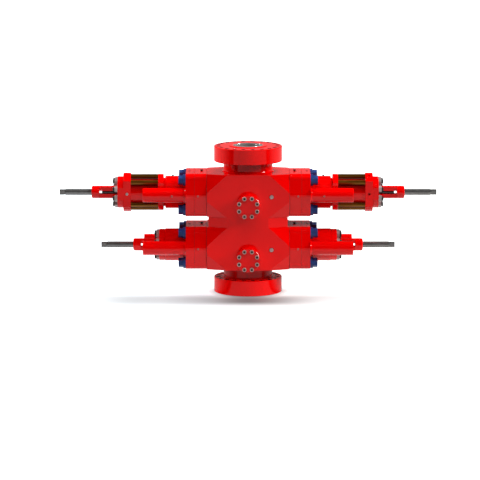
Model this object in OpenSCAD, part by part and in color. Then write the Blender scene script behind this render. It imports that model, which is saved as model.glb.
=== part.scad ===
// Double ram blowout preventer with opening bonnets, tandem boosters on the upper rams and lock screws.
// X runs along the rams, Y through the side outlets, Z up the wellbore. Origin: centre of the bottom face.

/* [Wellbore and end flanges] */
// Bore of the well through the whole stack
bore_d = 279.4; // [230:0.1:300]
// Outside of the end flanges
flange_d = 812.8; // [780:0.1:980]
// Thickness of an end flange
flange_t = 187.3; // [150:0.1:230]
// Circle that the flange stud holes lie on
bolt_circle_d = 711.2; // [690:0.1:720]
// Number of flange stud holes
bolt_count = 20; // [12:4:24]
// Diameter of a stud hole in the top flange
top_hole_d = 54; // [40:0.1:60]
// Diameter of a stud hole in the bottom flange
bottom_hole_d = 54.8; // [40:0.1:60]
// Outside of the raised sealing face
raised_face_d = 454; // [430:1:560]
// Height of the raised sealing face
raised_face_h = 6; // [3:0.5:10]
// Outside of the ring gasket groove
groove_d = 357.2; // [340:0.1:420]
// Width of the ring gasket groove at its mouth
groove_w = 21; // [16:0.5:26]
// Depth of the ring gasket groove
groove_depth = 14.2; // [8:0.1:18]
// Slope of the groove's flanks
groove_flank = 23; // [15:1:30]
// Outside of the neck between flange and block
neck_d = 584.2; // [500:0.1:620]
// Length of the neck
neck_l = 124; // [90:1:170]
// Fillet where the neck meets the flange
flange_fillet = 16; // [6:1:24]
// Fillet where the neck meets the block
block_fillet = 26; // [10:1:40]
// Chamfer on the flange rims
flange_chamfer = 5; // [2:0.5:10]

/* [Body] */
// Width of the block along the rams
body_w = 980; // [900:1:1180]
// Depth of the block
body_d = 718; // [690:1:860]
// Height of the block around one ram
block_h = 511; // [490:1:560]
// Distance between the two ram axes
ram_spacing = 635; // [600:1:780]
// Width of the flat front at a block's top and bottom edges
edge_front_w = 504; // [420:1:600]
// Depth of the flat side at a block's top and bottom edges
edge_side_d = 556; // [550:1:640]
// Height of the full-width band above a ram axis
band_up = 38; // [20:1:80]
// Depth of the full-width band below a ram axis
band_down = 66; // [40:1:100]
// Width of the waist between the two blocks
waist_w = 942; // [860:1:960]
// Width of the waist's flat front
waist_front_w = 486; // [400:1:560]

/* [Side outlets] */
// Drop of an outlet below its ram axis
outlet_drop = 108; // [100:1:112]
// Bore of a side outlet
outlet_bore_d = 52.4; // [40:0.1:56]
// Outside of the outlet boss
boss_d = 292; // [288:1:294]
// How far the boss stands out of the block
boss_l = 96; // [60:1:130]
// Outside of the blind cover
cover_d = 287.3; // [286:0.1:291]
// Thickness of the blind cover
cover_t = 64.3; // [40:0.1:90]
// Chamfer on the cover's face
cover_chamfer = 5; // [1:0.5:6]
// Circle that a cover's screws lie on
cover_circle_d = 230.1; // [210:0.1:234]
// Number of screws in a cover
cover_screw_count = 8; // [6:2:12]
// Shank of a cover screw
cover_screw_d = 28; // [20:1:32]
// Depth of thread in the boss
cover_screw_grip = 45; // [30:1:80]
// Head of a cover screw
cover_head_d = 48; // [40:1:49]
// Height of the head
cover_head_h = 32; // [20:1:40]
// Hexagon socket in the head across its flats
cover_socket_af = 24; // [14:1:28]
// Depth of the socket
cover_socket_depth = 16; // [10:1:18]

/* [Rams] */
// Width of a ram
ram_w = 376; // [340:1:380]
// Height of a ram
ram_h = 136; // [110:1:138]
// Length of a ram
ram_l = 230; // [180:1:250]
// Travel of a ram from open to closed
ram_stroke = 139; // [120:1:139]
// How far an open ram sits back from the bore wall
ram_setback = 2.3; // [2:0.1:10]
// Room around a ram in its cavity
ram_room = 2; // [1:0.5:5]
// Depth of the seal groove across a ram's top
ram_seal_depth = 6; // [3:1:12]
// Diameter of the ram rod
rod_d = 76; // [66:1:90]
// Diameter of the tail rod
tail_rod_d = 56; // [48:1:64]

/* [Bonnets] */
// Thickness of the intermediate flange
inter_t = 146.7; // [120:0.1:190]
// Thickness of the bonnet plate
bonnet_t = 103; // [80:1:130]
// Height of flange and bonnet
bonnet_h = 508; // [500:1:530]
// Depth of flange and bonnet at their corners
bonnet_d = 610; // [600:1:660]
// How far the ridge at the ram axis stands out on each side
ridge_out = 40; // [10:1:50]
// Radius that rounds the ridge
ridge_round = 150; // [100:1:180]
// Radius of the rounded corners
bonnet_corner = 67; // [50:1:72]

/* [Bonnet bolts] */
// Depth between the bonnet bolts
bolt_span_y = 464; // [450:1:490]
// Height between the bonnet bolts
bolt_span_z = 356; // [340:1:370]
// Shank of a bonnet bolt
bonnet_bolt_d = 64; // [50:1:70]
// Depth of thread in the block
bonnet_bolt_grip = 90; // [60:1:110]
// Washer collar of a bonnet bolt
collar_d = 138; // [120:1:140]
// Thickness of the washer collar
collar_t = 32; // [20:1:40]
// Hexagon of the bolt head across its flats
head_af = 98; // [85:1:105]
// Height of the bolt head over its collar
head_h = 56; // [40:1:70]

/* [Change cylinders] */
// Depth between the two change cylinders of a bonnet
change_span = 524; // [520:1:540]
// Outside of a change cylinder
change_d = 168; // [150:1:172]
// Bore of a change cylinder
change_bore_d = 124; // [100:1:130]
// Length of a change cylinder
change_l = 511; // [500:1:620]
// End wall of a change cylinder
change_end_t = 12; // [8:1:16]
// Diameter of the change rod
change_rod_d = 60; // [50:1:64]
// Thickness of the change piston
change_piston_t = 25; // [20:1:26]
// Depth of the change rod's socket in the block
change_socket = 60; // [40:1:80]
// Fillet around a change cylinder's root
change_fillet = 22; // [8:1:24]
// Chamfer on the cylinder's end
change_chamfer = 5; // [2:1:8]

/* [Operating cylinders] */
// Outside of an operating cylinder
op_d = 388; // [380:1:400]
// Bore of an operating cylinder
op_bore_d = 300; // [260:1:310]
// Length of an upper operating cylinder
op_l_upper = 246; // [246:1:290]
// Length of a lower operating cylinder
op_l_lower = 252; // [252:1:290]
// Diameter of the spigot that carries a booster
spigot_d = 342; // [330:1:360]
// Length of the spigot that carries a booster
spigot_l = 20; // [12:1:30]
// Wall between bonnet face and operating bore
op_wall = 45; // [30:1:45]
// Thickness of an operating piston
piston_t = 56; // [40:1:60]

/* [Boosters] */
// Radius of the booster's inner plate
inner_plate_r = 217; // [217:1:225]
// Thickness of the booster's inner plate
inner_plate_t = 66; // [50:1:90]
// Radius of the booster's outer plate
outer_plate_r = 231; // [218:1:236]
// Thickness of the booster's outer plate
outer_plate_t = 91; // [70:1:110]
// Half depth of the booster's plates and of the lock flanges, at their side flats
plate_half_d = 172; // [164:1:175]
// Outside of the booster cylinder
booster_d = 320; // [300:1:324]
// Bore of the booster cylinder
booster_bore_d = 280; // [240:1:290]
// Length of the booster cylinder
booster_l = 323; // [280:1:400]
// Circle that the tie rods lie on
tie_circle_d = 380; // [380:1:384]
// Diameter of a tie rod
tie_d = 54; // [40:1:54]
// Chamfer on the rims of the booster's plates
plate_chamfer = 5; // [2:1:8]
// Diameter of the oil ports in the booster's outer plate
port_d = 31; // [20:1:40]
// Depth of an oil port
port_depth = 50; // [30:1:60]
// Angle of the upper oil port from the vertical, towards the front
port_angle = 25; // [15:1:35]

/* [Locks] */
// Radius of the lock housing's flange
lock_flange_r = 188; // [180:1:190]
// Thickness of the lock housing's flange
lock_flange_t = 68; // [50:1:82]
// Outside of the lock housing's tube
lock_tube_d = 150; // [130:1:170]
// Length of the lock housing's tube
lock_tube_l = 313; // [300:1:376]
// Length of the sight slot from the flange
slot_l = 221; // [210:1:230]
// Height of the sight slot
slot_h = 37; // [28:1:44]
// Depth over the milled flats beside the sight slot
slot_flat_d = 82; // [82:1:110]
// Rounding of the tube's outer end
lock_round = 20; // [4:1:24]
// How far the tail rod reaches past the flange
tail_reach = 189; // [160:1:190]
// Diameter of the lock screw
screw_d = 74; // [64:1:80]
// Length of lock screw outside the housing
screw_out = 304; // [200:1:365]
// Length of the taper before the square drive
screw_taper_l = 18; // [6:1:24]
// Square drive across its flats
drive_af = 62; // [50:1:64]
// Length of the square drive
drive_l = 60; // [50:1:80]

/* [Clearances] */
// Radial running clearance of rods and screws
run_fit = 0.05; // [0.02:0.01:0.1]
// Gap between parts that move apart or sit close
gap = 0.3; // [0.2:0.05:0.5]

/* [Hidden] */
$fn = 96;
// Overshoot of a cutting shape past the face it cuts
eps = 1;
// Number of sides of a bolt head
hex_sides = 6;

// Heights
lower_axis_z = flange_t + neck_l + block_h / 2;
upper_axis_z = lower_axis_z + ram_spacing;
total_h = upper_axis_z + lower_axis_z;

// Places along a ram axis, outwards from the wellbore
face_x = body_w / 2;
inter_x = face_x + gap;
bonnet_x = inter_x + inter_t;
op_x = bonnet_x + bonnet_t;
chamber_x = op_x + op_wall;
change_end_x = op_x + change_l;
upper_op_end_x = op_x + op_l_upper;
inner_plate_x = upper_op_end_x + spigot_l;
booster_x = inner_plate_x + inner_plate_t;
outer_plate_x = booster_x + booster_l;
upper_lock_x = outer_plate_x + outer_plate_t;
lower_lock_x = op_x + op_l_lower;

// Rams and cavities
ram_x = bore_d / 2 + ram_setback;
cavity_w = ram_w + 2 * ram_room;
cavity_h = ram_h + 2 * ram_room;
piston_room = 6;
upper_piston_x = upper_op_end_x - piston_room - piston_t;
lower_piston_x = lower_lock_x - piston_room - piston_t;
booster_piston_x = outer_plate_x - piston_room - piston_t;

// A ring that turns about the ram axis, from x0 outwards
module along_x(x0) {
    translate([x0, 0, 0])
        rotate([0, 90, 0])
            children();
}

// A round bar along the ram axis
module bar_x(d, x0, x1) {
    along_x(x0)
        cylinder(h = x1 - x0, d = d);
}

// A round bar with a chamfer at its outer end
module chamfered_bar_x(d, x0, x1, chamfer) {
    bar_x(d, x0, x1 - chamfer);
    along_x(x1 - chamfer)
        cylinder(h = chamfer, d1 = d, d2 = d - 2 * chamfer);
}

// Puts a unit drawn on the right, at z = 0, on its ram axis and side
module at_unit(axis_z, left) {
    translate([0, 0, axis_z])
        mirror([left ? 1 : 0, 0, 0])
            children();
}

// Repeats children on the front and back of a unit
module front_and_back(span) {
    for (side = [-1, 1])
        translate([0, side * span / 2, 0])
            children();
}

// Repeats children at the four bonnet bolts
module at_bonnet_bolts() {
    for (side = [-1, 1], up = [-1, 1])
        translate([0, side * bolt_span_y / 2, up * bolt_span_z / 2])
            children();
}

// Half of the space outside a plane that passes through a point
module outside_plane(point, normal) {
    reach = max(block_h, edge_front_w);
    tilt = -asin(normal[2] / norm(normal));
    turn = atan2(normal[1], normal[0]);
    translate(point)
        rotate([0, tilt, turn])
            translate([0, -reach, -reach])
                cube([reach, 2 * reach, 2 * reach]);
}

// The three-sided facet that cuts one corner of a block
module corner_cut(sx, sy, sz) {
    band = sz > 0 ? band_up : band_down;
    across = (body_w - edge_front_w) / 2;
    back = (body_d - edge_side_d) / 2;
    down = block_h / 2 - band;
    outside_plane(
        [sx * edge_front_w / 2, sy * body_d / 2, sz * block_h / 2],
        [sx / across, sy / back, sz / down]
    );
}

// The block around one ram cavity, centred on its ram axis
module cavity_block() {
    difference() {
        cube([body_w, body_d, block_h], center = true);
        for (sx = [-1, 1], sy = [-1, 1], sz = [-1, 1])
            corner_cut(sx, sy, sz);
    }
}

// The narrower eight-sided waist between the two blocks
module waist() {
    w = waist_w / 2;
    f = waist_front_w / 2;
    d = body_d / 2;
    s = edge_side_d / 2;
    h = ram_spacing - block_h;
    translate([0, 0, total_h / 2 - h / 2])
        linear_extrude(h)
            polygon([[w, s], [f, d], [-f, d], [-w, s], [-w, -s], [-f, -d], [f, -d], [w, -s]]);
}

// The section of an end flange and its neck, from the end face to the block
module end_flange_section() {
    r = flange_d / 2;
    n = neck_d / 2;
    c = flange_chamfer;
    end = flange_t + neck_l;
    foot = groove_depth * tan(groove_flank);
    g = groove_d / 2;
    difference() {
        union() {
            polygon([
                [0, 0], [raised_face_d / 2, 0], [raised_face_d / 2, raised_face_h],
                [r - c, raised_face_h], [r, raised_face_h + c], [r, flange_t - c],
                [r - c, flange_t], [n + flange_fillet, flange_t],
                [n, flange_t + flange_fillet], [n, end - block_fillet],
                [n + block_fillet, end], [0, end]
            ]);
        }
        translate([0, -eps])
            square([bore_d / 2, end + 2 * eps]);
        polygon([
            [g - groove_w, -eps], [g, -eps], [g, 0], [g - foot, groove_depth],
            [g - groove_w + foot, groove_depth], [g - groove_w, 0]
        ]);
    }
}

// The hollow of the two neck fillets
module neck_fillet_rings() {
    n = neck_d / 2;
    end = flange_t + neck_l;
    rotate_extrude() {
        translate([n + flange_fillet, flange_t + flange_fillet])
            circle(r = flange_fillet);
        translate([n + block_fillet, end - block_fillet])
            circle(r = block_fillet);
    }
}

// One end flange with its neck, from z = 0 up
module end_flange(hole_d) {
    difference() {
        rotate_extrude()
            end_flange_section();
        neck_fillet_rings();
        for (i = [0 : bolt_count - 1])
            rotate([0, 0, (i + 0.5) * 360 / bolt_count])
                translate([bolt_circle_d / 2, 0, -eps])
                    cylinder(h = flange_t + 2 * eps, d = hole_d);
    }
}

// Everything cut into the block on one ram axis
module unit_cuts() {
    flat_w = cavity_w - cavity_h;
    for (side = [-1, 1])
        translate([0, side * flat_w / 2, 0])
            rotate([0, 90, 0])
                cylinder(h = body_w + 2 * eps, d = cavity_h, center = true);
    cube([body_w + 2 * eps, flat_w, cavity_h], center = true);
    translate([0, 0, -outlet_drop])
        rotate([90, 0, 0])
            cylinder(h = body_d + 2 * boss_l + 2 * eps, d = outlet_bore_d, center = true);
    for (left = [true, false])
        mirror([left ? 1 : 0, 0, 0]) {
            front_and_back(change_span)
                bar_x(change_rod_d + 2 * run_fit, face_x - change_socket, face_x + eps);
            at_bonnet_bolts()
                bar_x(bonnet_bolt_d + 2 * gap, face_x - bonnet_bolt_grip - gap, face_x + eps);
        }
}

// Turns what is drawn along +Z outwards at the four side outlets, from the block's face
module at_outlets() {
    for (z = [lower_axis_z, upper_axis_z], back = [false, true])
        translate([0, 0, z - outlet_drop])
            mirror([0, back ? 1 : 0, 0])
                rotate([90, 0, 0])
                    translate([0, 0, body_d / 2])
                        children();
}

// Repeats children at the screws of one cover
module at_cover_screws() {
    for (i = [0 : cover_screw_count - 1])
        rotate([0, 0, (i + 0.5) * 360 / cover_screw_count])
            translate([cover_circle_d / 2, 0, 0])
                children();
}

module main_body() {
    color("red")
        difference() {
            union() {
                end_flange(bottom_hole_d);
                translate([0, 0, total_h])
                    mirror([0, 0, 1])
                        end_flange(top_hole_d);
                waist();
                for (z = [lower_axis_z, upper_axis_z])
                    translate([0, 0, z]) {
                        cavity_block();
                        translate([0, 0, -outlet_drop])
                            rotate([90, 0, 0])
                                cylinder(h = body_d + 2 * boss_l, d = boss_d, center = true);
                    }
            }
            translate([0, 0, flange_t])
                cylinder(h = total_h - 2 * flange_t, d = bore_d);
            for (z = [lower_axis_z, upper_axis_z])
                translate([0, 0, z])
                    unit_cuts();
            at_outlets()
                at_cover_screws()
                    translate([0, 0, boss_l - cover_screw_grip - gap])
                        cylinder(h = cover_screw_grip + gap + eps, d = cover_screw_d + 2 * gap);
        }
}

module outlet_covers() {
    color("red")
        at_outlets()
            translate([0, 0, boss_l])
                difference() {
                    union() {
                        cylinder(h = cover_t - cover_chamfer, d = cover_d);
                        translate([0, 0, cover_t - cover_chamfer])
                            cylinder(
                                h = cover_chamfer, d1 = cover_d, d2 = cover_d - 2 * cover_chamfer
                            );
                    }
                    at_cover_screws()
                        translate([0, 0, -eps])
                            cylinder(h = cover_t + 2 * eps, d = cover_screw_d + 2 * gap);
                }
}

module outlet_cover_screws() {
    shank_l = cover_screw_grip + cover_t;
    socket_d = cover_socket_af / cos(180 / hex_sides);
    color("gray")
        at_outlets()
            at_cover_screws()
                translate([0, 0, boss_l - cover_screw_grip]) {
                    cylinder(h = shank_l, d = cover_screw_d);
                    translate([0, 0, shank_l])
                        difference() {
                            cylinder(h = cover_head_h, d = cover_head_d);
                            translate([0, 0, cover_head_h - cover_socket_depth])
                                cylinder(
                                    h = cover_socket_depth + eps, d = socket_d, $fn = hex_sides
                                );
                        }
                }
}

// The rods screwed into the block that the bonnets slide out along, each with its piston
module change_rods() {
    piston_end = change_end_x - change_end_t - piston_room;
    color("silver")
        for (z = [lower_axis_z, upper_axis_z], left = [true, false])
            at_unit(z, left)
                front_and_back(change_span) {
                    bar_x(change_rod_d, face_x - change_socket, piston_end - change_piston_t);
                    bar_x(change_bore_d - 2 * gap, piston_end - change_piston_t, piston_end);
                }
}

// The outline of bonnet and intermediate flange, seen along the ram axis
module bonnet_outline() {
    y = bonnet_d / 2;
    z = bonnet_h / 2;
    c = bonnet_corner;
    slope = atan(ridge_out / (z - c));
    centre = y + ridge_out - ridge_round / cos(slope);
    ridge_z = ridge_round * sin(slope);
    ridge_y = centre + ridge_round * cos(slope);
    polygon([
        [z, y - c], [z - c, y], [ridge_z, ridge_y], [-ridge_z, ridge_y], [c - z, y], [-z, y - c],
        [-z, c - y], [c - z, -y], [-ridge_z, -ridge_y], [ridge_z, -ridge_y], [z - c, -y], [z, c - y]
    ]);
    for (side = [-1, 1]) {
        translate([0, side * centre])
            circle(r = ridge_round);
        for (up = [-1, 1])
            translate([up * (z - c), side * (y - c)])
                circle(r = c);
    }
}

// A plate of that outline
module bonnet_plate(x0, thickness) {
    along_x(x0)
        linear_extrude(thickness)
            bonnet_outline();
}

module intermediate_flange() {
    color("red")
        difference() {
            bonnet_plate(inter_x, inter_t);
            bar_x(rod_d + 2 * run_fit, inter_x - eps, bonnet_x + eps);
            front_and_back(change_span)
                bar_x(change_rod_d + 2 * run_fit, inter_x - eps, bonnet_x + eps);
            at_bonnet_bolts()
                bar_x(bonnet_bolt_d + 2 * gap, inter_x - eps, bonnet_x + eps);
        }
}

// The ring that rounds a change cylinder's root into the bonnet
module change_root_ring() {
    r = change_d / 2 + gap;
    f = change_fillet;
    along_x(op_x)
        rotate_extrude()
            difference() {
                translate([r, 0])
                    square([f, f]);
                translate([r + f, f])
                    circle(r = f);
            }
}

module bonnet(upper) {
    op_end = upper ? upper_op_end_x : lower_lock_x;
    end = upper ? inner_plate_x : op_end;
    color("red")
        difference() {
            union() {
                bonnet_plate(bonnet_x, bonnet_t);
                chamfered_bar_x(op_d, op_x, op_end, plate_chamfer);
                if (upper)
                    bar_x(spigot_d, op_x, end);
                front_and_back(change_span)
                    change_root_ring();
            }
            bar_x(rod_d + 2 * run_fit, bonnet_x - eps, chamber_x + eps);
            bar_x(op_bore_d, chamber_x, end + eps);
            front_and_back(change_span) {
                bar_x(change_bore_d, bonnet_x - eps, op_x + eps);
                bar_x(change_d + 2 * gap, op_x, end + eps);
            }
            at_bonnet_bolts()
                bar_x(bonnet_bolt_d + 2 * gap, bonnet_x - eps, op_x + eps);
        }
}

module change_cylinders() {
    color("red")
        front_and_back(change_span)
            difference() {
                chamfered_bar_x(change_d, op_x, change_end_x, change_chamfer);
                bar_x(change_bore_d, op_x - eps, change_end_x - change_end_t);
            }
}

module bonnet_bolts() {
    color("steelblue")
        at_bonnet_bolts() {
            bar_x(bonnet_bolt_d, face_x - bonnet_bolt_grip, op_x);
            bar_x(collar_d, op_x, op_x + collar_t);
            along_x(op_x + collar_t)
                cylinder(h = head_h, d = head_af / cos(180 / hex_sides), $fn = hex_sides);
        }
}

// A round plate with flat sides that clear the change cylinders
module flat_sided_plate(r, x0, x1) {
    intersection() {
        union() {
            bar_x(2 * r, x0 + plate_chamfer, x1 - plate_chamfer);
            along_x(x0)
                cylinder(h = plate_chamfer, r1 = r - plate_chamfer, r2 = r);
            along_x(x1 - plate_chamfer)
                cylinder(h = plate_chamfer, r1 = r, r2 = r - plate_chamfer);
        }
        translate([x0 - eps, -plate_half_d, -r - eps])
            cube([x1 - x0 + 2 * eps, 2 * plate_half_d, 2 * r + 2 * eps]);
    }
}

module booster_inner_plate() {
    color("red")
        difference() {
            flat_sided_plate(inner_plate_r, inner_plate_x, booster_x);
            bar_x(rod_d + 2 * run_fit, inner_plate_x - eps, booster_x + eps);
        }
}

module booster_cylinder() {
    color("red")
        difference() {
            bar_x(booster_d, booster_x, outer_plate_x);
            bar_x(booster_bore_d, booster_x - eps, outer_plate_x + eps);
        }
}

// Three tie rods above and three below, none at the sides where the change cylinders lie
module booster_tie_rods() {
    color("saddlebrown")
        for (up = [0, 180], turn = [-45, 0, 45])
            rotate([up + turn, 0, 0])
                translate([0, 0, tie_circle_d / 2])
                    bar_x(tie_d, booster_x, outer_plate_x);
}

// Two oil ports in the outer plate, one in the front flat and one above it
module outer_plate_ports() {
    middle_x = outer_plate_x + outer_plate_t / 2;
    translate([middle_x, port_depth - plate_half_d, 0])
        rotate([90, 0, 0])
            cylinder(h = port_depth + eps, d = port_d);
    rotate([port_angle, 0, 0])
        translate([middle_x, 0, outer_plate_r - port_depth])
            cylinder(h = port_depth + eps, d = port_d);
}

module booster_outer_plate(open_ports) {
    color("red")
        difference() {
            flat_sided_plate(outer_plate_r, outer_plate_x, upper_lock_x);
            bar_x(tail_rod_d + 2 * run_fit, outer_plate_x - eps, upper_lock_x + eps);
            if (open_ports)
                outer_plate_ports();
        }
}

module lock_housing(x0) {
    tube_x = x0 + lock_flange_t;
    tube_end = tube_x + lock_tube_l;
    slot_end = tube_x + slot_l;
    mill = lock_tube_d / 2 - slot_flat_d / 2;
    color("red")
        difference() {
            union() {
                flat_sided_plate(lock_flange_r, x0, tube_x);
                bar_x(lock_tube_d, tube_x, tube_end - lock_round);
                bar_x(lock_tube_d - 2 * lock_round, tube_x, tube_end);
                along_x(tube_end - lock_round)
                    rotate_extrude()
                        translate([lock_tube_d / 2 - lock_round, 0])
                            circle(r = lock_round);
            }
            bar_x(tail_rod_d + 2 * run_fit, x0 - eps, tube_x);
            bar_x(screw_d + 2 * run_fit, tube_x, tube_end + eps);
            translate([tube_x, -lock_tube_d, -slot_h / 2])
                cube([slot_l, 2 * lock_tube_d, slot_h]);
            for (side = [-1, 1])
                translate([tube_x, side * (slot_flat_d + mill) / 2, 0])
                    translate([0, -mill / 2 - (side < 0 ? eps : 0), -lock_tube_d / 2])
                        cube([slot_end - tube_x, mill + eps, lock_tube_d]);
        }
}

module ram() {
    flat_w = ram_w - ram_h;
    color("dimgray")
        difference() {
            union() {
                translate([ram_x, -flat_w / 2, -ram_h / 2])
                    cube([ram_l, flat_w, ram_h]);
                front_and_back(flat_w)
                    bar_x(ram_h, ram_x, ram_x + ram_l);
            }
            translate([ram_x + ram_l / 2, -ram_w, ram_h / 2 - ram_seal_depth])
                cube([ram_seal_depth * 4, 2 * ram_w, ram_seal_depth + eps]);
        }
}

module ram_rod(upper) {
    piston_x = upper ? upper_piston_x : lower_piston_x;
    rod_end = upper ? booster_piston_x : piston_x;
    lock_x = upper ? upper_lock_x : lower_lock_x;
    color("gray")
        union() {
            bar_x(rod_d, ram_x + ram_l, rod_end);
            bar_x(op_bore_d - 2 * gap, piston_x, piston_x + piston_t);
            if (upper)
                bar_x(booster_bore_d - 2 * gap, booster_piston_x, booster_piston_x + piston_t);
            bar_x(tail_rod_d, rod_end, lock_x + lock_flange_t + tail_reach);
        }
}

module lock_screw(x0) {
    nut_x = x0 + lock_flange_t + slot_l;
    shoulder_x = x0 + lock_flange_t + lock_tube_l + screw_out;
    drive_x = shoulder_x + screw_taper_l;
    color("gray") {
        bar_x(screw_d, nut_x + gap, shoulder_x);
        along_x(shoulder_x)
            cylinder(h = screw_taper_l, d1 = screw_d, d2 = drive_af);
        intersection() {
            bar_x(screw_d, drive_x, drive_x + drive_l);
            translate([drive_x, -drive_af / 2, -drive_af / 2])
                cube([drive_l, drive_af, drive_af]);
        }
    }
}

module upper_left() { at_unit(upper_axis_z, true) children(); }
module upper_right() { at_unit(upper_axis_z, false) children(); }
module lower_left() { at_unit(lower_axis_z, true) children(); }
module lower_right() { at_unit(lower_axis_z, false) children(); }

main_body();
outlet_covers();
outlet_cover_screws();
change_rods();
upper_left() intermediate_flange();  // upper_left_intermediate_flange
upper_left() bonnet(true);  // upper_left_bonnet
upper_left() change_cylinders();  // upper_left_change_cylinders
upper_left() bonnet_bolts();  // upper_left_bonnet_bolts
upper_left() booster_inner_plate();  // upper_left_booster_inner_plate
upper_left() booster_cylinder();  // upper_left_booster_cylinder
upper_left() booster_tie_rods();  // upper_left_booster_tie_rods
upper_left() booster_outer_plate(false);  // upper_left_booster_outer_plate
upper_left() lock_housing(upper_lock_x);  // upper_left_lock_housing
upper_left() ram();  // upper_left_ram
upper_left() ram_rod(true);  // upper_left_ram_rod
upper_left() lock_screw(upper_lock_x);  // upper_left_lock_screw
upper_right() intermediate_flange();  // upper_right_intermediate_flange
upper_right() bonnet(true);  // upper_right_bonnet
upper_right() change_cylinders();  // upper_right_change_cylinders
upper_right() bonnet_bolts();  // upper_right_bonnet_bolts
upper_right() booster_inner_plate();  // upper_right_booster_inner_plate
upper_right() booster_cylinder();  // upper_right_booster_cylinder
upper_right() booster_tie_rods();  // upper_right_booster_tie_rods
upper_right() booster_outer_plate(true);  // upper_right_booster_outer_plate
upper_right() lock_housing(upper_lock_x);  // upper_right_lock_housing
upper_right() ram();  // upper_right_ram
upper_right() ram_rod(true);  // upper_right_ram_rod
upper_right() lock_screw(upper_lock_x);  // upper_right_lock_screw
lower_left() intermediate_flange();  // lower_left_intermediate_flange
lower_left() bonnet(false);  // lower_left_bonnet
lower_left() change_cylinders();  // lower_left_change_cylinders
lower_left() bonnet_bolts();  // lower_left_bonnet_bolts
lower_left() lock_housing(lower_lock_x);  // lower_left_lock_housing
lower_left() ram();  // lower_left_ram
lower_left() ram_rod(false);  // lower_left_ram_rod
lower_left() lock_screw(lower_lock_x);  // lower_left_lock_screw
lower_right() intermediate_flange();  // lower_right_intermediate_flange
lower_right() bonnet(false);  // lower_right_bonnet
lower_right() change_cylinders();  // lower_right_change_cylinders
lower_right() bonnet_bolts();  // lower_right_bonnet_bolts
lower_right() lock_housing(lower_lock_x);  // lower_right_lock_housing
lower_right() ram();  // lower_right_ram
lower_right() ram_rod(false);  // lower_right_ram_rod
lower_right() lock_screw(lower_lock_x);  // lower_right_lock_screw
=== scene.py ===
import math

import bmesh
import bpy
from mathutils import Matrix, Vector


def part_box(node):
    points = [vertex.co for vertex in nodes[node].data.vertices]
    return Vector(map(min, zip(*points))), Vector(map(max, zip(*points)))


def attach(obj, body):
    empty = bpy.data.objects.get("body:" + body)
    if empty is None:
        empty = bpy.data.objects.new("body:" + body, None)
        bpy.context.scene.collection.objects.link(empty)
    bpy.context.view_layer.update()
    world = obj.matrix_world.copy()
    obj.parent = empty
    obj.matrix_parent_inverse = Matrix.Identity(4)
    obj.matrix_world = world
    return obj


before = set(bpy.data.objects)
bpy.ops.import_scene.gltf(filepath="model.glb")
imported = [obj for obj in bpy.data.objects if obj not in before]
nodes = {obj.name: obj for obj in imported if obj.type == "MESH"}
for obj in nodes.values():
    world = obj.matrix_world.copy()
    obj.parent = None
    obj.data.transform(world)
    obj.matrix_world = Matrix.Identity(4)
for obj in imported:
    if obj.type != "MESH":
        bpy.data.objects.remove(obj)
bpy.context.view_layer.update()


# ---- The view ----
# A long lens stands some forty metres away and looks slightly down, so that the arms keep their
# real lengths and the tops of the flanges just show.
lens_mm = 250
view_distance = 39.9
view_height_deg = 9.55
aim = Vector((-0.096, 0.0, 0.62))

camera_data = bpy.data.cameras.new("catalogue_lens")
camera_data.lens = lens_mm
camera_data.sensor_width = 36
camera_data.clip_end = 400
camera = bpy.data.objects.new("catalogue_camera", camera_data)
bpy.context.scene.collection.objects.link(camera)
view_height = math.radians(view_height_deg)
towards_camera = Vector((0, -math.cos(view_height), math.sin(view_height)))
camera.location = aim + towards_camera * view_distance
camera.rotation_euler = (-towards_camera).to_track_quat("-Z", "Y").to_euler()
bpy.context.scene.camera = camera
bpy.context.scene.view_settings.view_transform = "Standard"


# ---- Studio light ----
# Broad screens stand on the right, low and high on the left, overhead and in front, and the pale
# room fills the rest. Polished work sees two small lamps, the floor and a dim glow low behind.
class Signal:
    """A number that changes over a surface. Sums and comparisons on it add their Math nodes."""

    def __init__(self, finish, socket):
        self.finish = finish
        self.socket = socket

    def math(self, operation, *values):
        return self.finish.node("ShaderNodeMath", {"operation": operation}, dict(enumerate(values)))

    def __add__(self, other):
        return self.math("ADD", self, other)

    __radd__ = __add__

    def __sub__(self, other):
        return self.math("SUBTRACT", self, other)

    def __rsub__(self, other):
        return self.math("SUBTRACT", other, self)

    def __mul__(self, other):
        return self.math("MULTIPLY", self, other)

    __rmul__ = __mul__

    def __truediv__(self, other):
        return self.math("DIVIDE", self, other)

    def __lt__(self, other):
        return self.math("LESS_THAN", self, other)

    def __gt__(self, other):
        return self.math("GREATER_THAN", self, other)

    def __abs__(self):
        return self.math("ABSOLUTE", self)

    def root(self):
        return self.math("SQRT", self)

    def sine(self):
        return self.math("SINE", self)

    def cosine(self):
        return self.math("COSINE", self)

    def floor(self):
        return self.math("FLOOR", self)

    def smallest(self, other):
        return self.math("MINIMUM", self, other)

    def largest(self, other):
        return self.math("MAXIMUM", self, other)

    def ramp(self, low, high):
        """0 below low, 1 above high and smooth between."""
        values = {"Value": self, "From Min": low, "From Max": high, "To Min": 0.0, "To Max": 1.0}
        settings = {"interpolation_type": "SMOOTHSTEP"}
        return self.finish.node("ShaderNodeMapRange", settings, values)


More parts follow.
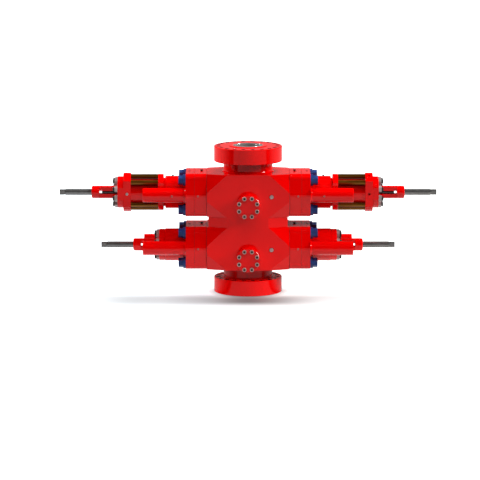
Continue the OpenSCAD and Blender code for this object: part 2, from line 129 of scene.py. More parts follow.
class Finish:
    """The node tree of a paint, a metal or the room's light."""

    def __init__(self, owner):
        owner.use_nodes = True
        self.owner = owner
        self.tree = owner.node_tree

    def join(self, socket, value):
        if isinstance(value, Signal):
            self.tree.links.new(value.socket, socket)
        else:
            socket.default_value = value

    def node(self, kind, settings=None, values=None, output=0):
        made = self.tree.nodes.new(kind)
        for name, setting in (settings or {}).items():
            setattr(made, name, setting)
        for name, value in (values or {}).items():
            self.join(made.inputs[name], value)
        return Signal(self, made.outputs[output])

    def blend(self, share, first, second):
        """A colour that goes from first to second as share goes from 0 to 1."""
        values = {0: share, 6: first, 7: second}
        return self.node("ShaderNodeMix", {"data_type": "RGBA"}, values, output=2)

    def places(self, kind="Object"):
        """The x, y and z of the point on the piece or in the room, and the three together."""
        point = self.node("ShaderNodeTexCoord", output=kind)
        parts = self.tree.nodes.new("ShaderNodeSeparateXYZ")
        self.tree.links.new(point.socket, parts.inputs[0])
        return [Signal(self, part) for part in parts.outputs] + [point]

    def rays(self):
        """1 for what the eye sees, straight or through glass, and 1 for what polish mirrors."""
        paths = self.tree.nodes.new("ShaderNodeLightPath")
        straight = Signal(self, paths.outputs["Is Camera Ray"])
        through = Signal(self, paths.outputs["Is Transmission Ray"])
        return straight + through, Signal(self, paths.outputs["Is Glossy Ray"])

    def clouds(self, point, scale, detail=2.0):
        """A cloudy value between 0 and 1, with about scale patches to the metre."""
        values = {"Vector": point, "Scale": scale, "Detail": detail}
        return self.node("ShaderNodeTexNoise", None, values)


def hang_lamp(name, direction, strength, spread_deg, mirrored):
    """A far sun lamp: a broad screen that nothing mirrors, or a small lamp that only glints."""
    lamp_data = bpy.data.lights.new(name, "SUN")
    lamp_data.energy = strength
    lamp_data.angle = math.radians(spread_deg)
    lamp = bpy.data.objects.new(name, lamp_data)
    bpy.context.scene.collection.objects.link(lamp)
    lamp.rotation_euler = Vector(direction).to_track_quat("Z", "Y").to_euler()
    lamp.visible_glossy = mirrored
    lamp.visible_diffuse = not mirrored


hang_lamp("right_screen", (0.84, -0.17, 0.51), 3.5, 25, False)
hang_lamp("left_low_screen", (-0.46, 0.19, 0.06), 2.2, 30, False)
hang_lamp("left_back_screen", (-0.70, 0.35, 0.55), 2.6, 40, False)
hang_lamp("top_screen", (0.22, 0.42, 0.88), 2.8, 32, False)
hang_lamp("front_screen", (0.0, -0.6, 0.8), 1.35, 50, False)
hang_lamp("right_glint", (0.85, -0.12, 0.51), 2.4, 12, True)
hang_lamp("left_glint", (-0.72, 0.36, 0.60), 2.4, 12, True)

room_fill_low = 0.12
room_fill_rise = 0.20
glow_strength = 0.30
glow_fade_height = (0.10, 0.32)
glow_fade_depth = (0.1, 0.6)
room = bpy.data.worlds.new("pale_room")
bpy.context.scene.world = room
light = Finish(room)
light.tree.nodes.clear()
behind, height = light.places("Generated")[1:3]
low_behind = (1 - height.ramp(*glow_fade_height)) * behind.ramp(*glow_fade_depth)
fill = height.largest(0.0) * room_fill_rise + room_fill_low
seen, glossy = light.rays()
level = seen + glossy * low_behind * glow_strength + (1 - seen - glossy) * fill
backdrop = light.node("ShaderNodeBackground", None, {"Strength": level})
world_output = light.tree.nodes.new("ShaderNodeOutputWorld")
light.tree.links.new(backdrop.socket, world_output.inputs["Surface"])


# ---- Studio floor ----
# A wide sheet of matt white board. A soft shadow is painted on it in front of the preventer and out
# to the left, and it takes the real shadow too. Polished work mirrors it with two dark gaps.
floor_radius = 60.0
floor_sides = 200
bpy.ops.object.select_all(action="DESELECT")
bpy.ops.mesh.primitive_circle_add(vertices=floor_sides, radius=floor_radius, fill_type="NGON")
studio_floor = bpy.context.object
studio_floor.name = "studio_floor"

board = Finish(bpy.data.materials.new("white_board"))
board.tree.nodes.clear()
across, depth = board.places()[:2]
seen, glossy = board.rays()

shade_line = -0.62
shade_half_depth = (0.06, 0.47)
shade_half_width = 1.05
shade_darkness = 0.88
arm_shade_start = (-2.2, -1.3)
arm_shade_end = (-0.95, -0.3)
arm_shade_darkness = 0.42
# Round the flange's foot the board is painted darker, a painted contact shadow.
foot_edge = (0.39, 0.52)
foot_darkness = 0.4
in_band = 1 - abs(depth - shade_line).ramp(*shade_half_depth)
in_middle = 1 - abs(across).ramp(0.0, shade_half_width)
under_left_arm = across.ramp(*arm_shade_start) * (1 - across.ramp(*arm_shade_end))
shade = in_band * (in_middle + under_left_arm * arm_shade_darkness) * shade_darkness
from_middle = (across * across + depth * depth).root()
clear_of_foot_shade = 1 - foot_darkness + from_middle.ramp(*foot_edge) * foot_darkness
open_share = (1 - shade) * clear_of_foot_shade

shaded_board = (0.02, 0.027, 0.027, 1)
open_board = (0.41, 0.43, 0.44, 1)
cool_white = (0.92, 0.96, 1, 1)
warm_white = (1, 0.985, 0.96, 1)
tint_edge = (-0.6, 0.6)
back_edge = (-0.42, -0.1)
open_glow = 0.5
back_glow = 0.4
least_glow = 0.03
mirrored_glow = 0.95
seen_colour = board.blend(open_share, shaded_board, open_board)
seen_matt = board.node("ShaderNodeBsdfDiffuse", None, {"Color": seen_colour})
# Behind the preventer the board glows more, painted light that washes out the real shadow there.
seen_glow = open_share * open_glow + depth.ramp(*back_edge) * clear_of_foot_shade * back_glow
# The glow is cooler on the left and warmer on the right, a painted tint of the shade.
glow_colour = board.blend(across.ramp(*tint_edge), cool_white, warm_white)
glow_level = seen * (seen_glow + least_glow) + glossy * mirrored_glow
glow = board.node("ShaderNodeEmission", None, {"Color": glow_colour, "Strength": glow_level})

bounce_near = 0.66
bounce_loss = 0.52
bounce_edge = (0.8, 2.0)
arm_stretch = 0.2
from_arms = (across * across * arm_stretch + depth * depth).root()
bounce_share = (bounce_near - from_arms.ramp(*bounce_edge) * bounce_loss) * (1 - glossy)
bounce = {0: bounce_share, 1: bounce_share, 2: bounce_share}
bounce_grey = board.node("ShaderNodeCombineXYZ", None, bounce)
bounce_matt = board.node("ShaderNodeBsdfDiffuse", None, {"Color": bounce_grey})

sheen_share = 0.12
sheen_roughness = 0.45
matt = board.node("ShaderNodeMixShader", None, {0: seen, 1: bounce_matt, 2: seen_matt})
sheen_values = {"Color": (1, 1, 1, 1), "Roughness": sheen_roughness}
sheen = board.node("ShaderNodeBsdfGlossy", None, sheen_values)
coated = board.node("ShaderNodeMixShader", None, {0: seen * sheen_share, 1: matt, 2: sheen})
near_board = board.node("ShaderNodeAddShader", None, {0: coated, 1: glow})

far_glow = 0.54
left_gap_start = (-100, -56)
left_gap_end = (-51, -47)
right_gap_start = (60, 66)
right_gap_end = (66, 100)
grazing_edge = (0.60, 0.80)
bearing_deg = across.math("ARCTAN2", across, depth * -1) * (180 / math.pi)
left_light = bearing_deg.ramp(*left_gap_end) + (1 - bearing_deg.ramp(*left_gap_start))
right_light = 1 - bearing_deg.ramp(*right_gap_start) * (1 - bearing_deg.ramp(*right_gap_end))
far_light = left_light.smallest(1.0) * right_light * far_glow
far_board = board.node("ShaderNodeEmission", None, {"Strength": far_light})
grazing = board.node("ShaderNodeLayerWeight", None, {"Blend": 0.5}, output="Facing")
far_share = glossy * grazing.ramp(*grazing_edge)
floor_shader = board.node("ShaderNodeMixShader", None, {0: far_share, 1: near_board, 2: far_board})
floor_output = board.tree.nodes.new("ShaderNodeOutputMaterial")
board.tree.links.new(floor_shader.socket, floor_output.inputs["Surface"])
studio_floor.data.materials.append(board.owner)


# ---- Block with its end flanges ----
# One forging of alloy steel, bored and milled all over, in red gloss enamel, with painted shade
# round the necks and round the oil port plugs. Bore, ring grooves, ram cavities, bonnet seats and
# stud holes stay bare metal; the stud holes are painted nearly black as shade.
enamel_red = (0.74, 0.0005, 0.0005, 1)
enamel_deep_red = (0.69, 0.0004, 0.0004, 1)
enamel_lustre = 1.37
steel_grey = (0.34, 0.37, 0.36, 1)
hole_shade_black = (0.02, 0.016, 0.016, 1)
bore_grey = (0.33, 0.33, 0.32, 1)
groove_bright = (0.42, 0.42, 0.41, 1)
port_rim_shade_red = (0.26, 0.0004, 0.0004, 1)
neck_shade_red = (0.03, 0.0001, 0.0001, 1)
block_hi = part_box("main_body")[1]
axis_low = 0.5668
axis_high = 1.2018
mid_height = block_hi.z / 2
edge_round = 0.0025
face_skin = 0.0001


class SurfaceFinish(Finish):
    """A paint or a metal on one shader, with its relief under rounded edges."""

    def __init__(self, name):
        super().__init__(bpy.data.materials.new(name))
        self.shader = self.tree.nodes["Principled BSDF"]
        self.x, self.y, self.z, self.point = self.places()

    def feed(self, **values):
        for name, value in values.items():
            self.join(self.shader.inputs[name.replace("_", " ")], value)

    def relief(self, height, depth):
        """Bumps depth metres tall where height is 1, over edges that are slightly rounded."""
        rounded = self.node("ShaderNodeBevel", {"samples": 4}, {"Radius": edge_round})
        values = {"Height": height, "Distance": depth, "Normal": rounded}
        self.feed(Normal=self.node("ShaderNodeBump", None, values))


def spray_enamel(name):
    """Red gloss enamel with its slight orange peel."""
    paint = SurfaceFinish(name)
    drift = paint.clouds(paint.point, 2.2).ramp(0.35, 0.65)
    peel = paint.clouds(paint.point, 110.0, 1.0)
    paint.colour = paint.blend(drift, enamel_red, enamel_deep_red)
    paint.gloss = 0.035 + drift * 0.03
    paint.feed(Base_Color=paint.colour, Roughness=paint.gloss, IOR=enamel_lustre)
    paint.relief(peel, 0.00003)
    return paint


def bare_patch(paint, bare, metal, dullness):
    """Leaves the metal bare where the mask is 1."""
    paint.feed(
        Base_Color=paint.blend(bare, paint.colour, metal),
        Metallic=bare * 0.6,
        Roughness=paint.gloss + bare * dullness,
    )


def dress(names, finish):
    """Puts a finish on these parts of the frame."""
    for name in names:
        for place in nodes[name].material_slots:
            place.material = finish.owner


block_paint = spray_enamel("block_enamel")
x, y, z = block_paint.x, block_paint.y, block_paint.z
from_bore = (x * x + y * y).root()
end_height = abs(z - mid_height)
half_spacing = (axis_high - axis_low) / 2

bore_radius = 0.1415
groove_radius = 0.1795
groove_depth = 0.0166
in_bore = from_bore < bore_radius
in_groove = (from_bore < groove_radius) * (end_height > mid_height - groove_depth)

cavity_half_height = 0.0706
cavity_half_width = 0.1906
from_axis = abs(end_height - half_spacing)
in_cavity = (from_axis < cavity_half_height) * (abs(y) < cavity_half_width)
on_seat = abs(x) > block_hi.x - face_skin

outlet_drop = 0.108
outlet_radius = 0.0268
outlet_row = abs(z - mid_height + outlet_drop) - half_spacing
in_outlet = (outlet_row * outlet_row + x * x).root() < outlet_radius

stud_count = 20
stud_circle = 0.3556
stud_hole_radius = 0.0279
flange_thick = 0.1875
sector = 2 * math.pi / stud_count
hole_bearing = ((y.math("ARCTAN2", y, x) / sector).floor() + 0.5) * sector
hole_x = x - hole_bearing.cosine() * stud_circle
hole_y = y - hole_bearing.sine() * stud_circle
in_flange = end_height > mid_height - flange_thick
in_stud_hole = ((hole_x * hole_x + hole_y * hole_y).root() < stud_hole_radius) * in_flange

# A ring round each oil port plug is painted dark red, a painted shade at the plug's rim.
port_x = 0.278
port_drop = 0.008
plug_head = 0.023
rim_width = 0.006
port_side = x * y.math("SIGN", y) + port_x
port_row = abs(z - mid_height + port_drop) - half_spacing
port_rim = (port_side * port_side + port_row * port_row).root() < plug_head + rim_width
block_paint.colour = block_paint.blend(port_rim, block_paint.colour, port_rim_shade_red)

# Round the necks the enamel is painted darker, a painted shade under the flanges; the lit sides of the
# upper neck are left out.
neck_edge = (0.296, 0.335)
lit_side_height = (0.8, 1.0)
lit_side_width = (0.12, 0.27)
neck_shade_depth = 0.42
on_neck = (end_height < mid_height - flange_thick) * (1 - from_bore.ramp(*neck_edge))
lit_sides = z.ramp(*lit_side_height) * abs(x).ramp(*lit_side_width)
painted_neck_shade = on_neck * (1 - lit_sides) * neck_shade_depth
block_paint.colour = block_paint.blend(painted_neck_shade, block_paint.colour, neck_shade_red)

bare = in_bore.largest(in_groove).largest(in_cavity).largest(on_seat).largest(in_outlet)
# The stud hole walls are painted nearly black, a painted shade deep in the holes.
metal = block_paint.blend(in_stud_hole, steel_grey, hole_shade_black)
metal = block_paint.blend(in_bore, metal, bore_grey)
metal = block_paint.blend(in_groove * (1 - in_bore), metal, groove_bright)
bare_patch(block_paint, bare.largest(in_stud_hole), metal, 0.10)
dress(["main_body"], block_paint)


# ---- Oil port plugs of the block ----
# Turned steel plugs with a hexagon socket close the two oil ports on each side of the block. Each
# is screwed in until its flat head sits on a spot face.
def start_bar(name, sides, radius, length, middle, direction):
    """A round or hexagonal bar along direction, from which a piece is shaped."""
    bpy.ops.object.select_all(action="DESELECT")
    turn = Vector(direction).to_track_quat("Z", "Y").to_euler()
    bpy.ops.mesh.primitive_cylinder_add(
        vertices=sides, radius=radius, depth=length, location=middle, rotation=turn
    )
    bar = bpy.context.object
    bar.name = name
    bpy.ops.object.transform_apply()
    return bar


def pick_end(bar, direction):
    """Opens the bar for editing with only its end face selected."""
    if bpy.context.mode == "OBJECT":
        bpy.ops.object.mode_set(mode="EDIT")
    bpy.ops.mesh.select_mode(type="FACE")
    bpy.ops.mesh.select_all(action="DESELECT")
    shape = bmesh.from_edit_mesh(bar.data)
    facing = [face for face in shape.faces if face.normal.dot(direction) > 0.999]
    end = max(facing, key=lambda face: face.calc_center_median().dot(direction))
    end.select_set(True)
    centre = end.calc_center_median().copy()
    bmesh.update_edit_mesh(bar.data)
    return centre


def chamfer_end(bar, direction, size, steps=2):
    """Breaks the edge round the end face."""
    pick_end(bar, direction)
    bpy.ops.mesh.bevel(offset=size, segments=steps, affect="EDGES")


def step_end(bar, direction, length, spread):
    """Draws the end face out by length and opens or closes it by the factor spread."""
    centre = pick_end(bar, direction)
    drawn = Vector(direction) * length
    bpy.ops.mesh.extrude_region_move(TRANSFORM_OT_translate={"value": drawn})
    bpy.ops.transform.resize(value=(spread,) * 3, center_override=centre + drawn)


def close_piece(bar):
    """Ends editing and smooths the turned surfaces."""
    if bpy.context.mode != "OBJECT":
        bpy.ops.object.mode_set(mode="OBJECT")
    bpy.ops.object.shade_smooth_by_angle(angle=math.radians(35))


def cut(bar, tool, operation="DIFFERENCE"):
    """Cuts the tool's shape out of the bar, or keeps only what they share."""
    if bpy.context.mode != "OBJECT":
        bpy.ops.object.mode_set(mode="OBJECT")
    bpy.ops.object.select_all(action="DESELECT")
    bar.select_set(True)
    bpy.context.view_layer.objects.active = bar
    modifier = bar.modifiers.new("tool_path", "BOOLEAN")
    modifier.operation = operation
    modifier.object = tool
    bpy.ops.object.modifier_apply(modifier=modifier.name)
    bpy.data.objects.remove(tool)


def copy_to(piece, name, *moves):
    """A copy with its own mesh at each of these places, joined to one object."""
    made = []
    for move in moves:
        twin = piece.copy()
        twin.data = piece.data.copy()
        twin.data.transform(move)
        bpy.context.scene.collection.objects.link(twin)
        made.append(twin)
    bpy.ops.object.select_all(action="DESELECT")
    for twin in made:
        twin.select_set(True)
    bpy.context.view_layer.objects.active = made[0]
    if len(made) > 1:
        bpy.ops.object.join()
    made[0].name = name
    return made[0]


def fit_piece(piece, body, finish):
    """Gives the piece its finish and fastens it to that body of the frame."""
    piece.data.materials.clear()
    piece.data.materials.append(finish.owner)
    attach(piece, body)


def socket_plug(name, size, face, direction):
    """A plug on a face. Its size is the head's radius and height and the width of its socket."""
    head_radius, head_height, socket_across = size
    inside = 0.006
    key_stands_out = 0.02
    socket_deep = head_height * 0.8
    face, direction = Vector(face), Vector(direction)
    middle = face + direction * (head_height - inside) / 2
    plug = start_bar(name, 40, head_radius, head_height + inside, middle, direction)
    chamfer_end(plug, direction, min(0.0015, head_height * 0.35))
    bpy.ops.object.mode_set(mode="OBJECT")
    key_middle = face + direction * (head_height + (key_stands_out - socket_deep) / 2)
    key_radius = socket_across / math.sqrt(3)
    key = start_bar("key", 6, key_radius, socket_deep + key_stands_out, key_middle, direction)
    cut(plug, key)
    close_piece(plug)
    return plug


plug_steel = SurfaceFinish("plug_steel")
plug_stain = plug_steel.clouds(plug_steel.point, 120.0, 3.0)
plug_steel.feed(
    Base_Color=plug_steel.blend(plug_stain, (0.42, 0.28, 0.27, 1), (0.60, 0.43, 0.42, 1)),
    Metallic=0.6,
    Roughness=0.34 + plug_stain * 0.14,
)
plug_steel.relief(plug_stain, 0.00006)

half_turn = Matrix.Rotation(math.pi, 4, "Z")
down_one_ram = Matrix.Translation((0, 0, axis_low - axis_high))
stay = Matrix.Identity(4)
front = Vector((0, -1, 0))
block_front = -0.359
port_plug = (plug_head, 0.004, 0.017)
port_place = (port_x, block_front, axis_high - port_drop)
plug = socket_plug("plug", port_plug, port_place, front)
port_plugs = copy_to(
    plug, "block_port_plugs", stay, down_one_ram, half_turn, down_one_ram @ half_turn
)
bpy.data.objects.remove(plug)
fit_piece(port_plugs, "body", plug_steel)


# ---- Side outlet covers and their screws ----
# Forged discs close the four side outlets. They wear the same enamel, and each is held by eight
# socket head cap screws with bare, knurled heads.
dress(["outlet_covers"], spray_enamel("cover_enamel"))

screw_metal = SurfaceFinish("cap_screw_steel")
x, z = screw_metal.x, screw_metal.z
screw_count = 8
screw_circle = 0.11505
socket_radius = 0.0142
head_radius = 0.024
knurl_depth = 0.0006
knurl_ridges = 48
lathe_turns = 5200
from_row = z - mid_height + outlet_drop
outlet_z = (abs(from_row) - half_spacing) * from_row.math("SIGN", from_row)
screw_sector = 2 * math.pi / screw_count
screw_bearing = ((z.math("ARCTAN2", outlet_z, x) / screw_sector).floor() + 0.5) * screw_sector
screw_x = x - screw_bearing.cosine() * screw_circle
screw_z = outlet_z - screw_bearing.sine() * screw_circle
from_screw = (screw_x * screw_x + screw_z * screw_z).root()
in_socket = from_screw < socket_radius
around = from_screw.math("ARCTAN2", screw_z, screw_x)
knurl = (around * knurl_ridges).sine() * (from_screw > head_radius - knurl_depth)
lathe_rings = (from_screw * lathe_turns).sine() * 0.3
grime = screw_metal.clouds(screw_metal.point, 90.0)
screw_grey = screw_metal.blend(grime, (0.42, 0.27, 0.25, 1), (0.60, 0.41, 0.38, 1))
# The hexagon sockets are painted nearly black, a painted shade inside them.
screw_metal.feed(
    Base_Color=screw_metal.blend(in_socket, screw_grey, (0.055, 0.018, 0.016, 1)),
    Metallic=0.7,
    Roughness=0.32 + grime * 0.15,
)
screw_metal.relief(knurl + lathe_rings, 0.0002)
dress(["outlet_cover_screws"], screw_metal)


# ---- Change rods ----
# Round bars of hard chromed steel stand out of the block's seats. They hold the bonnets up as
# these slide open, and disappear in the change cylinders when shut.
grinding_lines = 4200
chrome = SurfaceFinish("hard_chrome")
polish = chrome.clouds(chrome.point, 260.0, 3.0)
chrome.feed(Base_Color=(0.62, 0.62, 0.63, 1), Metallic=1.0, Roughness=0.08 + polish * 0.1)
chrome.relief((chrome.x * grinding_lines).sine() + polish, 0.000012)
dress(["change_rods"], chrome)


# ---- Intermediate flanges and bonnets ----
# Milled forgings in red enamel carry the seals, one pair on each end of the two ram cavities. The
# face towards the block is bare, because the bonnet seal closes on it.
upper_units = ("upper_left", "upper_right")
units = upper_units + ("lower_left", "lower_right")
bonnet_joint_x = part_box("upper_right_intermediate_flange")[1].x
joint_line = 0.0026
fine_joint_red = (0.42, 0.0004, 0.0004, 1)
deep_joint_red = (0.30, 0.0004, 0.0004, 1)


def joint_shade(paint, joint, width, colour):
    """Darkens and dulls the enamel where it turns down into a joint between two forgings."""
    near_joint = abs(abs(paint.x) - joint) < width
    paint.colour = paint.blend(near_joint, paint.colour, colour)
    paint.gloss = paint.gloss + near_joint * 0.5
    paint.feed(Base_Color=paint.colour, Roughness=paint.gloss)


flange_paint = spray_enamel("flange_enamel")
joint_shade(flange_paint, bonnet_joint_x, joint_line, fine_joint_red)
joint_shade(flange_paint, block_hi.x, joint_line * 2, deep_joint_red)
seal_face = abs(flange_paint.x) < block_hi.x + face_skin
bare_patch(flange_paint, seal_face, steel_grey, 0.2)
dress([unit + "_intermediate_flange" for unit in units], flange_paint)

bonnet_bore_radius = 0.1505
bonnet_paint = spray_enamel("bonnet_enamel")
joint_shade(bonnet_paint, bonnet_joint_x, joint_line, fine_joint_red)
from_row = abs(bonnet_paint.z - mid_height) - half_spacing
from_axis = (bonnet_paint.y * bonnet_paint.y + from_row * from_row).root()
bonnet_bore = from_axis < bonnet_bore_radius
bare_patch(bonnet_paint, bonnet_bore, steel_grey, 0.1)
dress([unit + "_bonnet" for unit in units], bonnet_paint)
dress([unit + "_change_cylinders" for unit in units], bonnet_paint)


# ---- Plugs and fittings of the bonnet units ----
# Small socket plugs, painted over with the rest, close the test ports on the ridges of the
# intermediate flanges and on the upper change cylinders. The fittings and vent plugs on the flange
# tops, the bonnet tops and the upper operating cylinders are blackened steel.
place_of = {
    "upper_right": stay,
    "upper_left": half_turn,
    "lower_right": down_one_ram,
    "lower_left": down_one_ram @ half_turn,
}
thick_paint = (0.42, 0.025, 0.024, 1)
thin_paint = (0.50, 0.12, 0.11, 1)
painted_plug = SurfaceFinish("painted_plug")
plug_wear = painted_plug.clouds(painted_plug.point, 150.0, 3.0)
painted_plug.feed(
    Base_Color=painted_plug.blend(plug_wear.ramp(0.35, 0.65), thick_paint, thin_paint),
    Roughness=0.22 + plug_wear * 0.2,
    IOR=enamel_lustre,
)
painted_plug.relief(plug_wear, 0.00006)

ridge_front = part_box("upper_right_intermediate_flange")[0].y
ridge_x = 0.594
test_plug = (0.0135, 0.003, 0.010)
ridge_plug = socket_plug("plug", test_plug, (ridge_x, ridge_front, axis_high), front)
about_arm = Matrix.Translation((ridge_x * 2, 0, 0)) @ half_turn
for unit in units:
    pair = copy_to(ridge_plug, unit + "_test_plugs", place_of[unit], place_of[unit] @ about_arm)
    fit_piece(pair, unit + "_bonnet_unit", painted_plug)
bpy.data.objects.remove(ridge_plug)

change_front = -0.346
change_x = 0.903
change_plug = socket_plug("plug", test_plug, (change_x, change_front, axis_high), front)
about_arm = Matrix.Translation((change_x * 2, 0, 0)) @ half_turn
for unit in upper_units:
    pair = copy_to(change_plug, unit + "_change_plugs", place_of[unit], place_of[unit] @ about_arm)
    fit_piece(pair, unit + "_bonnet_unit", painted_plug)
bpy.data.objects.remove(change_plug)

blackened = SurfaceFinish("blackened_steel")
black_wear = blackened.clouds(blackened.point, 160.0, 3.0)
blackened.feed(
    Base_Color=blackened.blend(black_wear, (0.008, 0.008, 0.009, 1), (0.03, 0.028, 0.028, 1)),
    Metallic=0.4,
    Roughness=0.3 + black_wear * 0.2,
)
blackened.relief(black_wear, 0.00005)

up = Vector((0, 0, 1))
bonnet_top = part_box("upper_right_bonnet")[1].z
grease_x = 0.554
grease_radius = 0.012
grease_length = 0.012
grease_steps = ((0.0, 1.45), (0.006, 1.0), (0.003, 0.8))
grease_middle = (grease_x, 0, bonnet_top + 0.002)
grease = start_bar("grease", 32, grease_radius, grease_length, grease_middle, up)
for length, spread in grease_steps:
    step_end(grease, up, length, spread)
close_piece(grease)

vent_x = 0.701
vent_plug = (0.012, 0.004, 0.009)
vent = socket_plug("vent", vent_plug, (vent_x, 0, bonnet_top), up)
for unit in units:
    fitting = copy_to(grease, unit + "_grease_fitting", place_of[unit])
    fit_piece(fitting, unit + "_bonnet_unit", blackened)
    plug = copy_to(vent, unit + "_vent_plug", place_of[unit])
    fit_piece(plug, unit + "_bonnet_unit", blackened)
bpy.data.objects.remove(grease)
bpy.data.objects.remove(vent)

cylinder_top = axis_high + 0.194
bleed_x = 0.897
bleed_radius = 0.0135
bleed_length = 0.020
bleed_steps = ((0.0, 0.55), (0.006, 0.9))
bleed = start_bar("bleed", 6, bleed_radius, bleed_length, (bleed_x, 0, cylinder_top), up)
chamfer_end(bleed, up, 0.002)
for length, spread in bleed_steps:
    step_end(bleed, up, length, spread)
close_piece(bleed)
for unit in upper_units:
    fitting = copy_to(bleed, unit + "_bleed_fitting", place_of[unit])
    fit_piece(fitting, unit + "_bonnet_unit", blackened)
bpy.data.objects.remove(bleed)


# ---- Bonnet bolts ----
# Heavy hexagon bolts with a collar, forged and machined, then coated with a blue fluoropolymer
# that keeps salt off. Four hold each bonnet.
bolt_coat = SurfaceFinish("blue_bolt_coating")
speck = bolt_coat.clouds(bolt_coat.point, 420.0, 3.0)
patch = bolt_coat.clouds(bolt_coat.point, 14.0).ramp(0.35, 0.7)
bolt_coat.feed(
    Base_Color=bolt_coat.blend(patch, (0.004, 0.020, 0.11, 1), (0.009, 0.038, 0.18, 1)),
    Roughness=0.34 + speck * 0.16,
    IOR=1.45,
)
bolt_coat.relief(speck, 0.00012)
dress([unit + "_bonnet_bolts" for unit in units], bolt_coat)


# ---- Tandem boosters of the upper rams ----
# Each has two milled plates and a rolled cylinder in red enamel, drawn together by tie rods that
# are left in their brown oil finish.
booster_paint = spray_enamel("booster_enamel")
for unit in upper_units:
    dress([unit + "_booster_inner_plate", unit + "_booster_outer_plate"], booster_paint)

# The tube is painted darker towards the top, a painted shade under the tie rods.
rod_shade_red = (0.24, 0.001, 0.0005, 1)
tube_paint = spray_enamel("booster_tube_enamel")
rod_shade_share = (tube_paint.z - axis_high).ramp(-0.05, 0.10)
tube_paint.feed(Base_Color=tube_paint.blend(rod_shade_share, tube_paint.colour, rod_shade_red))
dress([unit + "_booster_cylinder" for unit in upper_units], tube_paint)

plate_lo, plate_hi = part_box("upper_left_booster_outer_plate")
plate_x = (plate_lo.x + plate_hi.x) / 2
plate_front = -0.172
large_plug = (0.0175, 0.004, 0.011)
plate_plug = socket_plug("plug", large_plug, (plate_x, plate_front, axis_high), front)
booster_plug = copy_to(plate_plug, "upper_left_booster_plug", stay)
bpy.data.objects.remove(plate_plug)
fit_piece(booster_plug, "upper_left_bonnet_unit", plug_steel)

dark_brown = (0.145, 0.05, 0.001, 1)
pale_brown = (0.23, 0.10, 0.010, 1)
turning_marks = 1800
oil_brown = SurfaceFinish("brown_oil_finish")
drawn_out = {"Vector": oil_brown.point, "Scale": (4, 60, 60)}
streak_place = oil_brown.node("ShaderNodeMapping", None, drawn_out)
streak = oil_brown.clouds(streak_place, 1.0, 3.0)
oil_brown.feed(
    Base_Color=oil_brown.blend(streak.ramp(0.3, 0.7), dark_brown, pale_brown),
    Metallic=0.75,
    Roughness=0.25 + streak * 0.2,
)
oil_brown.relief((oil_brown.x * turning_marks).sine() * 0.5 + streak, 0.00006)
dress([unit + "_booster_tie_rods" for unit in upper_units], oil_brown)


# ---- Lock screw housings ----
# A flange and a slotted tube in red enamel on the end of each arm guide the lock screw. Through
# the slot the ram's tail rod shows how far the ram has gone.
dress([unit + "_lock_housing" for unit in units], booster_paint)


# ---- Studs and nuts of the lock screw housings ----
# Eight dark, oiled studs come through each housing's flange and take heavy hexagon nuts, whose
# zinc plating has gone dull grey.
nut_across = 0.069
nut_thick = 0.034
nut_corner_trim = 0.955
nut_trim_allowance = 0.003
nut_chamfer = 0.0055
stud_radius = 0.0262
stud_start = 0.004
thread_pitch = 0.004
thread_depth = 0.93
thread_turns = 5
nut_circle = 0.148
nut_count = 8
lock_flange_thick = 0.068
nut_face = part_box("upper_right_lock_housing")[0].x + lock_flange_thick
outward = Vector((1, 0, 0))

nut_corner = nut_across / math.sqrt(3)
nut_middle = Vector((nut_face + nut_thick / 2, 0, axis_high + nut_circle))
nut_round = nut_corner * nut_corner_trim + nut_trim_allowance
nut = start_bar("nut", 48, nut_round, nut_thick, nut_middle, outward)
for side in (outward, -outward):
    chamfer_end(nut, side, nut_chamfer, 1)
bpy.ops.object.mode_set(mode="OBJECT")
hexagon = start_bar("hexagon", 6, nut_corner, nut_thick * 2, nut_middle, outward)
cut(nut, hexagon, "INTERSECT")
close_piece(nut)

stud_middle = nut_middle + outward * stud_start / 2
stud_length = nut_thick + stud_start
stud = start_bar("stud", 32, stud_radius * thread_depth, stud_length, stud_middle, outward)
for turn in range(thread_turns):
    step_end(stud, outward, thread_pitch / 2, 1 / thread_depth)
    step_end(stud, outward, thread_pitch / 2, thread_depth)
chamfer_end(stud, outward, 0.003, 1)
close_piece(stud)

axis_place = Matrix.Translation((0, 0, axis_high))
ring = []
for count in range(nut_count):
    turned = Matrix.Rotation(math.pi / nut_count * (2 * count + 1), 4, "X")
    ring.append(axis_place @ turned @ axis_place.inverted())

zinc = SurfaceFinish("dull_zinc")
zinc_cloud = zinc.clouds(zinc.point, 60.0, 4.0)
zinc.feed(
    Base_Color=zinc.blend(zinc_cloud, (0.30, 0.25, 0.24, 1), (0.60, 0.51, 0.50, 1)),
    Metallic=0.55,
    Roughness=0.4 + zinc_cloud * 0.15,
)
zinc.relief(zinc_cloud, 0.0001)

dark_thread = SurfaceFinish("dark_thread")
thread_cloud = dark_thread.clouds(dark_thread.point, 90.0, 4.0)
dark_thread.feed(
    Base_Color=dark_thread.blend(thread_cloud, (0.03, 0.027, 0.025, 1), (0.09, 0.075, 0.07, 1)),
    Metallic=0.6,
    Roughness=0.4 + thread_cloud * 0.2,
)
dark_thread.relief(thread_cloud, 0.0001)

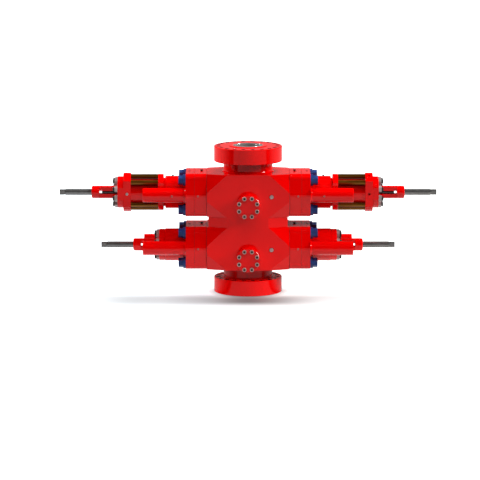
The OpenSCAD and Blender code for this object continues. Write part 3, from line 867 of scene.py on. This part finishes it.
lower_lock_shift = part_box("lower_right_lock_housing")[0].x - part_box("upper_right_lock_housing")[0].x
lower_lock = Matrix.Translation((lower_lock_shift, 0, axis_low - axis_high))
lock_place_of = {
    "upper_right": stay,
    "upper_left": half_turn,
    "lower_right": lower_lock,
    "lower_left": half_turn @ lower_lock,
}
for unit in units:
    moves = [lock_place_of[unit] @ spot for spot in ring]
    nuts = copy_to(nut, unit + "_lock_nuts", *moves)
    fit_piece(nuts, unit + "_bonnet_unit", zinc)
    studs = copy_to(stud, unit + "_lock_studs", *moves)
    fit_piece(studs, unit + "_bonnet_unit", dark_thread)
bpy.data.objects.remove(nut)
bpy.data.objects.remove(stud)


# ---- Rams, ram rods and lock screws ----
# Rams are forged and ground, their rods turned, and the lock screws turned with a threaded length
# inside the housing and a square drive outside. All are bare, oiled steel.
turned_pitch = 0.0024
ground_pitch = 0.0010
tool_mark_depth = 0.00001


def turned_steel(name, ring_pitch, dark, pale):
    """Bare steel turned about an axis along the arms."""
    steel = SurfaceFinish(name)
    stain = steel.clouds(steel.point, 24.0, 3.0)
    steel.feed(
        Base_Color=steel.blend(stain.ramp(0.3, 0.7), dark, pale),
        Metallic=0.7,
        Roughness=0.12 + stain * 0.10,
    )
    steel.relief((steel.x * (2 * math.pi / ring_pitch)).sine(), tool_mark_depth)
    return steel


# The tail rods are dark oiled steel, painted darker still as shade inside the housing's slot.
ram_dark, ram_pale = (0.24, 0.24, 0.24, 1), (0.32, 0.32, 0.32, 1)
slot_shade_dark, slot_shade_pale = (0.05, 0.05, 0.048, 1), (0.075, 0.075, 0.072, 1)
screw_dark, screw_pale = (0.18, 0.175, 0.17, 1), (0.23, 0.22, 0.215, 1)
ram_steel = turned_steel("ground_ram_steel", ground_pitch, ram_dark, ram_pale)
rod_steel = turned_steel("rod_steel", turned_pitch, slot_shade_dark, slot_shade_pale)
screw_steel = turned_steel("screw_steel", turned_pitch, screw_dark, screw_pale)
dress([unit + "_ram" for unit in units], ram_steel)
dress([unit + "_ram_rod" for unit in units], rod_steel)
dress([unit + "_lock_screw" for unit in units], screw_steel)
